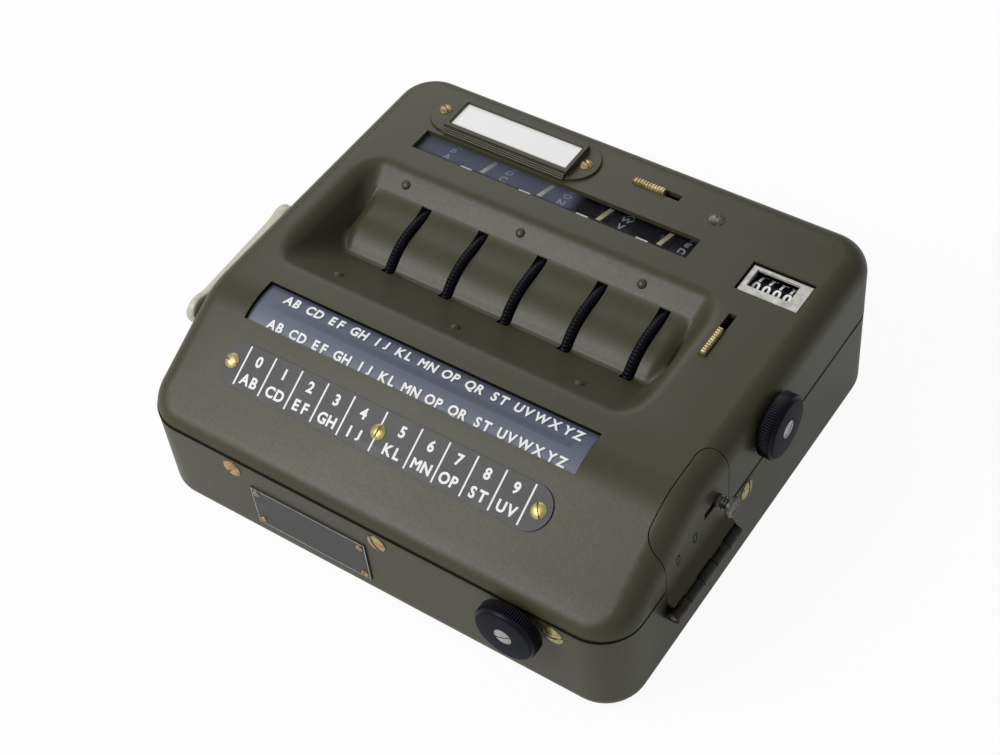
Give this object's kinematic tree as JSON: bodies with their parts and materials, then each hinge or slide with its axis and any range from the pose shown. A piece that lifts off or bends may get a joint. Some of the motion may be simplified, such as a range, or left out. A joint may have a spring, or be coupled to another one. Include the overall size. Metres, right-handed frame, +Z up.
{
  "type": "rotor cipher machine",
  "caption": "Hand-operated rotor cipher machine in a painted sloping case: thumb rings in a trough, letter windows, counter, knurled knobs, side lever and hinged card door.",
  "frame": {"origin": "centre of the case footprint on the surface it stands on", "axes": "+Z up, -Y the sloping front, +X the side with the card door"},
  "size_m": [0.1726, 0.1508, 0.0582],
  "materials": {
    "painted_metal": "semi-matt olive drab paint",
    "dark_paint": "dark grey satin paint with white lettering",
    "black_metal": "black finish, knurled",
    "steel": "turned steel",
    "brass": "turned brass",
    "drum_black": "black with white characters",
    "cream_plastic": "cream moulded plastic",
    "clear_pane": "clear pane",
    "label_metal": "olive paint",
    "white_card": "white insert"
  },
  "bodies": {
    "case": {"top_cover": "painted_metal", "base_tray": "painted_metal", "trough_rivets": "painted_metal", "code_strip": "dark_paint", "letter_plate": "dark_paint", "nameplate": "dark_paint", "counter_frame": "steel", "hinge_lugs": "steel", "hinge_pin": "steel", "left_plate": "steel", "right_plate": "steel", "wheel_axle": "steel", "drum_axle": "steel", "counter_axle": "steel", "nameplate_rivets": "steel", "case_screws": "brass", "label_screws": "brass", "strip_screws": "brass", "dividers": "brass", "front_bush": "brass", "side_bush": "brass", "lever_bush": "brass", "reading_bar": "drum_black", "display_window": "clear_pane", "letter_window": "clear_pane", "label_frame": "label_metal", "label_card": "white_card"},
    "wheel_1": {"key_wheel_1": "steel", "thumb_ring_1": "black_metal"},
    "drum_1": {"letter_drum_1": "drum_black"},
    "wheel_2": {"key_wheel_2": "steel", "thumb_ring_2": "black_metal"},
    "drum_2": {"letter_drum_2": "drum_black"},
    "wheel_3": {"key_wheel_3": "steel", "thumb_ring_3": "black_metal"},
    "drum_3": {"letter_drum_3": "drum_black"},
    "wheel_4": {"key_wheel_4": "steel", "thumb_ring_4": "black_metal"},
    "drum_4": {"letter_drum_4": "drum_black"},
    "wheel_5": {"key_wheel_5": "steel", "thumb_ring_5": "black_metal"},
    "drum_5": {"letter_drum_5": "drum_black"},
    "front_turn": {"front_knob": "black_metal", "front_knob_screw": "steel", "front_shaft": "steel"},
    "side_turn": {"side_knob": "black_metal", "side_knob_screw": "steel", "side_shaft": "steel"},
    "lever": {"operating_lever": "cream_plastic", "lever_shaft": "steel"},
    "across": {"slider_across": "brass"},
    "along": {"slider_along": "brass"},
    "door": {"card_door": "painted_metal"},
    "latch": {"latch_knob": "steel"},
    "digit_1": {"number_wheel_1": "drum_black"},
    "digit_2": {"number_wheel_2": "drum_black"},
    "digit_3": {"number_wheel_3": "drum_black"},
    "digit_4": {"number_wheel_4": "drum_black"}
  },
  "joints": [
    {"name": "wheel_1_turn", "type": "hinge", "parent": "case", "child": "wheel_1", "pos_m": [-0.044, 0.0163, 0.0301], "axis": [1, 0, 0], "continuous": true},
    {"name": "drum_1_turn", "type": "hinge", "parent": "case", "child": "drum_1", "pos_m": [-0.044, 0.0425, 0.0358], "axis": [1, 0, 0], "continuous": true},
    {"name": "wheel_2_turn", "type": "hinge", "parent": "case", "child": "wheel_2", "pos_m": [-0.02355, 0.0163, 0.0301], "axis": [1, 0, 0], "continuous": true},
    {"name": "drum_2_turn", "type": "hinge", "parent": "case", "child": "drum_2", "pos_m": [-0.02355, 0.0425, 0.0358], "axis": [1, 0, 0], "continuous": true},
    {"name": "wheel_3_turn", "type": "hinge", "parent": "case", "child": "wheel_3", "pos_m": [-0.0031, 0.0163, 0.0301], "axis": [1, 0, 0], "continuous": true},
    {"name": "drum_3_turn", "type": "hinge", "parent": "case", "child": "drum_3", "pos_m": [-0.0031, 0.0425, 0.0358], "axis": [1, 0, 0], "continuous": true},
    {"name": "wheel_4_turn", "type": "hinge", "parent": "case", "child": "wheel_4", "pos_m": [0.01735, 0.0163, 0.0301], "axis": [1, 0, 0], "continuous": true},
    {"name": "drum_4_turn", "type": "hinge", "parent": "case", "child": "drum_4", "pos_m": [0.01735, 0.0425, 0.0358], "axis": [1, 0, 0], "continuous": true},
    {"name": "wheel_5_turn", "type": "hinge", "parent": "case", "child": "wheel_5", "pos_m": [0.0378, 0.0163, 0.0301], "axis": [1, 0, 0], "continuous": true},
    {"name": "drum_5_turn", "type": "hinge", "parent": "case", "child": "drum_5", "pos_m": [0.0378, 0.0425, 0.0358], "axis": [1, 0, 0], "continuous": true},
    {"name": "front_knob_turn", "type": "hinge", "parent": "case", "child": "front_turn", "pos_m": [0.0492, -0.07175, 0.028], "axis": [0, -1, 0], "continuous": true},
    {"name": "side_knob_turn", "type": "hinge", "parent": "case", "child": "side_turn", "pos_m": [0.08, 0.006, 0.0452], "axis": [1, 0, 0], "continuous": true},
    {"name": "lever_press", "type": "hinge", "parent": "case", "child": "lever", "pos_m": [-0.0815, 0.003, 0.0434], "axis": [1, 0, 0], "range_deg": [0, 28], "stiffness_Nm_per_rad": 0.05, "springref_deg": -20.05},
    {"name": "slider_across_move", "type": "slide", "parent": "case", "child": "across", "axis": [1, 0, 0], "range_m": [0, 0.005]},
    {"name": "slider_along_move", "type": "slide", "parent": "case", "child": "along", "axis": [0, 1, 0], "range_m": [0, 0.0064]},
    {"name": "door_open", "type": "hinge", "parent": "case", "child": "door", "pos_m": [0.083, -0.0156, 0.0252], "axis": [0, 1, 0], "range_deg": [0, 95]},
    {"name": "latch_move", "type": "slide", "parent": "door", "child": "latch", "axis": [0, -1, 0], "range_m": [0, 0.005]},
    {"name": "digit_1_turn", "type": "hinge", "parent": "case", "child": "digit_1", "pos_m": [0.0562, 0.042, 0.0461], "axis": [1, 0, 0], "continuous": true},
    {"name": "digit_2_turn", "type": "hinge", "parent": "case", "child": "digit_2", "pos_m": [0.05945, 0.042, 0.0461], "axis": [1, 0, 0], "continuous": true},
    {"name": "digit_3_turn", "type": "hinge", "parent": "case", "child": "digit_3", "pos_m": [0.0627, 0.042, 0.0461], "axis": [1, 0, 0], "continuous": true},
    {"name": "digit_4_turn", "type": "hinge", "parent": "case", "child": "digit_4", "pos_m": [0.06595, 0.042, 0.0461], "axis": [1, 0, 0], "continuous": true}
  ],
  "couplings": [
    {"joint": "drum_1_turn", "follows": "wheel_1_turn", "ratio": -1},
    {"joint": "drum_2_turn", "follows": "wheel_2_turn", "ratio": -1},
    {"joint": "drum_3_turn", "follows": "wheel_3_turn", "ratio": -1},
    {"joint": "drum_4_turn", "follows": "wheel_4_turn", "ratio": -1},
    {"joint": "drum_5_turn", "follows": "wheel_5_turn", "ratio": -1},
    {"joint": "digit_3_turn", "follows": "digit_4_turn", "ratio": 0.1},
    {"joint": "digit_2_turn", "follows": "digit_4_turn", "ratio": 0.01},
    {"joint": "digit_1_turn", "follows": "digit_4_turn", "ratio": 0.001}
  ]
}
